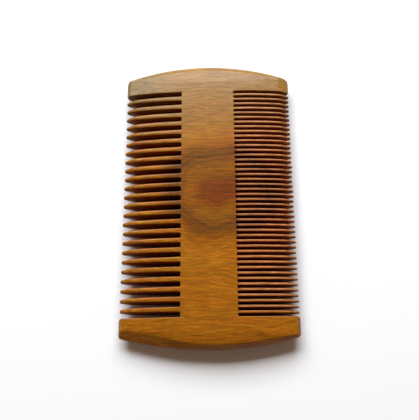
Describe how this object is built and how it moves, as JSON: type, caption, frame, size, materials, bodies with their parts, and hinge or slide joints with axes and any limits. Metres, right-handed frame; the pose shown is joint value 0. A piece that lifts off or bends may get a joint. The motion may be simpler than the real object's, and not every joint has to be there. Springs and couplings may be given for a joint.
{
  "type": "beard comb",
  "caption": "Double-sided wooden pocket comb for a beard: wide teeth along one side, narrow teeth along the other, a flat spine between them and curved guard bars at both ends",
  "frame": {"origin": "on the flat underside, in the middle of the comb's width and length", "axes": "X across the comb with the coarse teeth at -X and the fine teeth at +X, Y along the comb and its rows of teeth, Z through its thickness"},
  "size_m": [0.058, 0.1, 0.0076],
  "materials": {
    "sandalwood": "sanded and hand-polished, satin"
  },
  "bodies": {
    "root": {"spine": "sandalwood", "rear_guard_bar": "sandalwood", "front_guard_bar": "sandalwood", "coarse_tooth_01": "sandalwood", "coarse_tooth_02": "sandalwood", "coarse_tooth_03": "sandalwood", "coarse_tooth_04": "sandalwood", "coarse_tooth_05": "sandalwood", "coarse_tooth_06": "sandalwood", "coarse_tooth_07": "sandalwood", "coarse_tooth_08": "sandalwood", "coarse_tooth_09": "sandalwood", "coarse_tooth_10": "sandalwood", "coarse_tooth_11": "sandalwood", "coarse_tooth_12": "sandalwood", "coarse_tooth_13": "sandalwood", "coarse_tooth_14": "sandalwood", "coarse_tooth_15": "sandalwood", "coarse_tooth_16": "sandalwood", "coarse_tooth_17": "sandalwood", "coarse_tooth_18": "sandalwood", "coarse_tooth_19": "sandalwood", "coarse_tooth_20": "sandalwood", "coarse_tooth_21": "sandalwood", "coarse_tooth_22": "sandalwood", "coarse_tooth_23": "sandalwood", "coarse_tooth_24": "sandalwood", "fine_teeth_01_02": "sandalwood", "fine_teeth_03_04": "sandalwood", "fine_teeth_05_06": "sandalwood", "fine_teeth_07_08": "sandalwood", "fine_teeth_09_10": "sandalwood", "fine_teeth_11_12": "sandalwood", "fine_teeth_13_14": "sandalwood", "fine_teeth_15_16": "sandalwood", "fine_teeth_17_18": "sandalwood", "fine_teeth_19_20": "sandalwood", "fine_teeth_21_22": "sandalwood", "fine_teeth_23_24": "sandalwood", "fine_teeth_25_26": "sandalwood", "fine_teeth_27_28": "sandalwood", "fine_teeth_29_30": "sandalwood", "fine_teeth_31_32": "sandalwood", "fine_teeth_33_34": "sandalwood", "fine_teeth_35_36": "sandalwood", "fine_teeth_37_38": "sandalwood", "fine_teeth_39_40": "sandalwood", "fine_teeth_41_42": "sandalwood", "fine_teeth_43_44": "sandalwood"}
  },
  "joints": []
}
